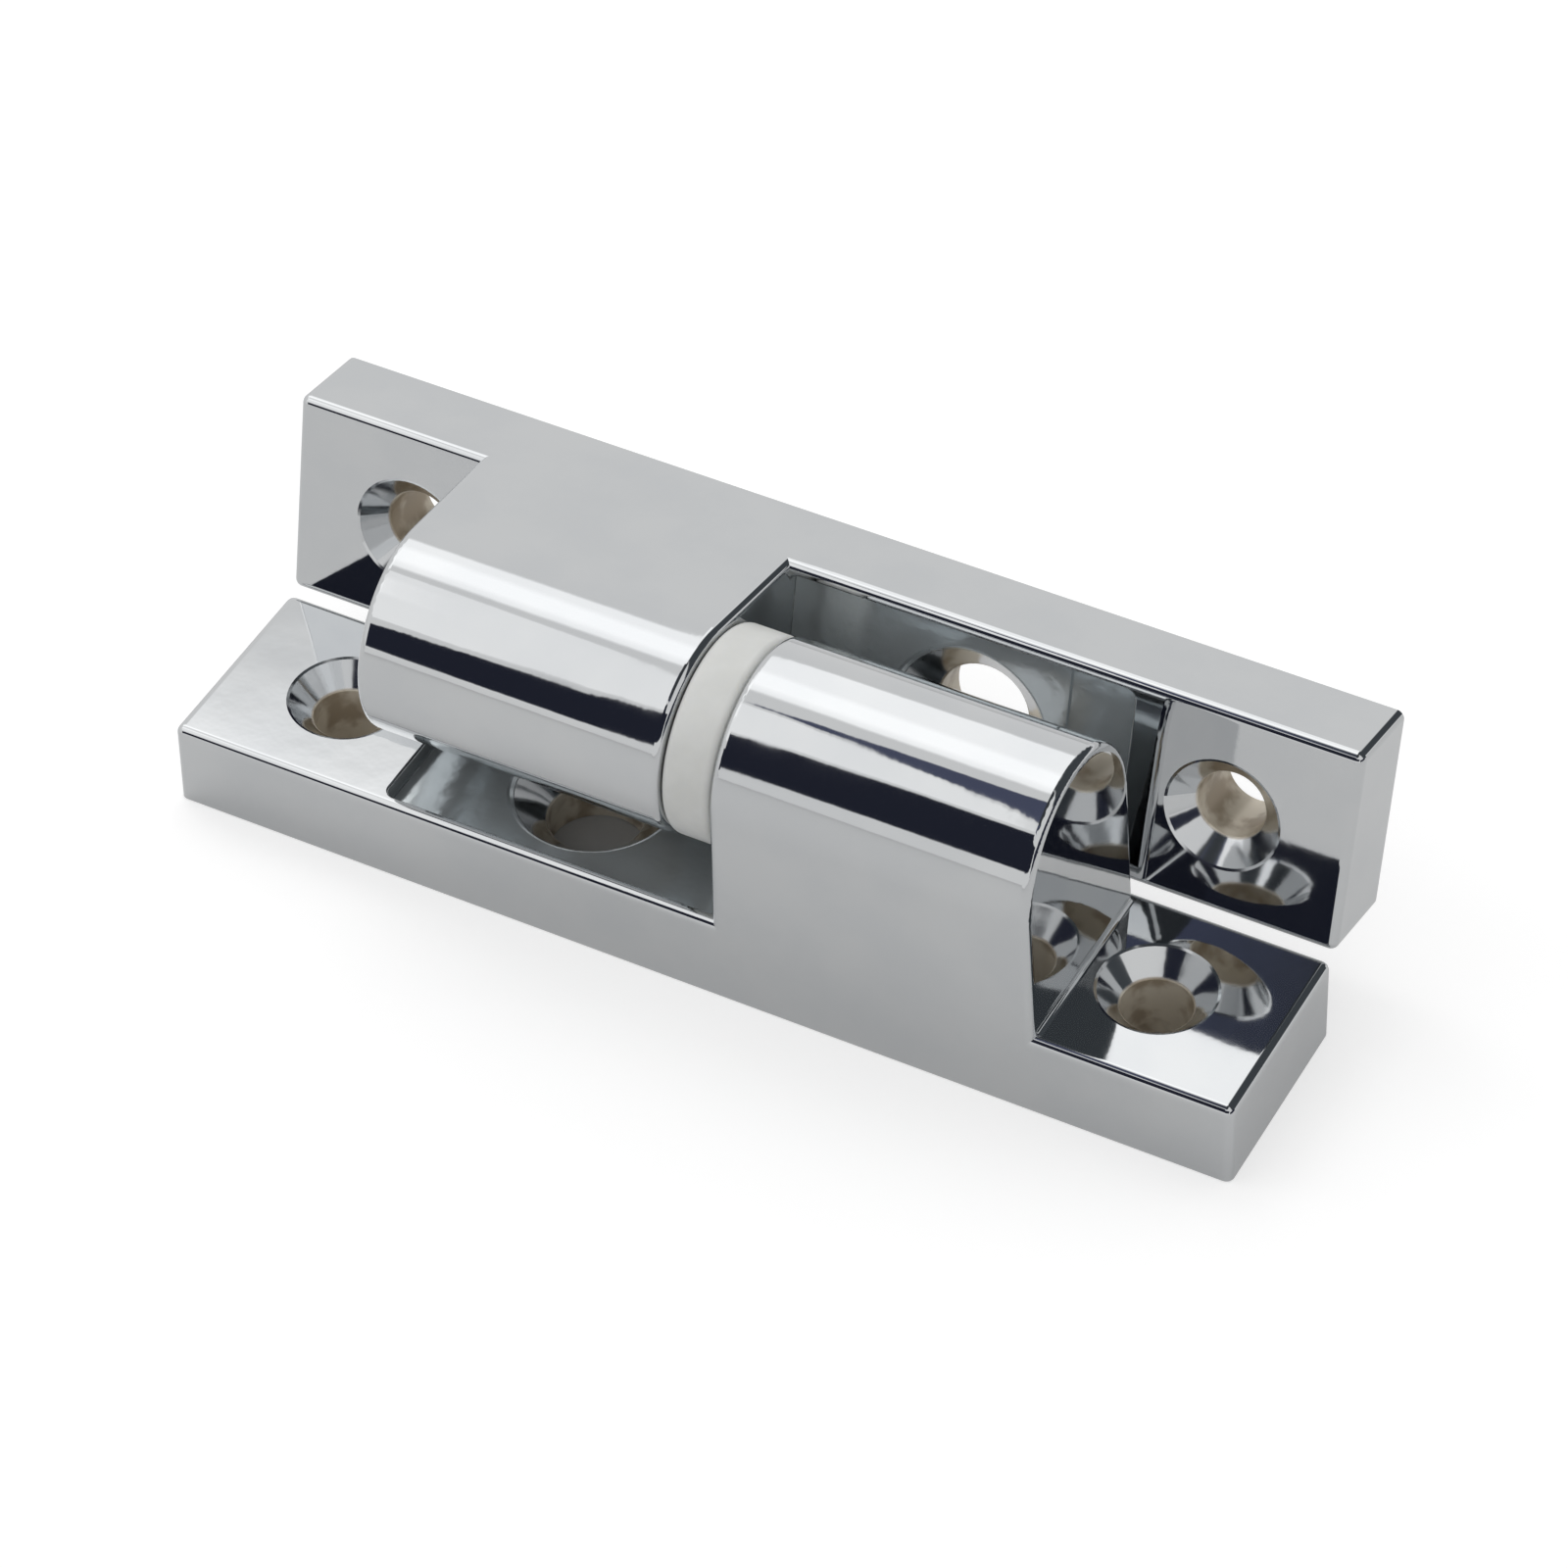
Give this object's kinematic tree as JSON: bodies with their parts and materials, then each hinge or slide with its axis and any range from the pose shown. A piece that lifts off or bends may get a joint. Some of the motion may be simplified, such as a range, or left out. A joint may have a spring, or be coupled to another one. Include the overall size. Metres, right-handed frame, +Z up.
{
  "type": "enclosure door hinge",
  "caption": "Chrome-plated surface-mounted door hinge: cast leaves with offset webs and closed knuckles turn on a hidden pin, with a plastic ring between them.",
  "frame": {"origin": "on the frame leaf's mounting face, midway between its two outer screw holes", "axes": "+X along the hinge axis towards the frame leaf's knuckle, +Y across the frame leaf towards the door leaf, +Z up out of the mounting face"},
  "size_m": [0.108, 0.0342, 0.0326],
  "materials": {
    "plated_zinc": "bright chrome plating on a smooth casting",
    "pin_steel": "ground steel",
    "ivory_plastic": "satin moulded plastic"
  },
  "bodies": {
    "frame": {"frame_leaf": "plated_zinc", "hinge_pin": "pin_steel", "spacer_washer": "ivory_plastic"},
    "door": {"door_leaf": "plated_zinc"}
  },
  "joints": [
    {"name": "door_swing", "type": "hinge", "parent": "frame", "child": "door", "pos_m": [0, -0.0005, 0.0224], "axis": [1, 0, 0], "range_deg": [0, 205]}
  ]
}
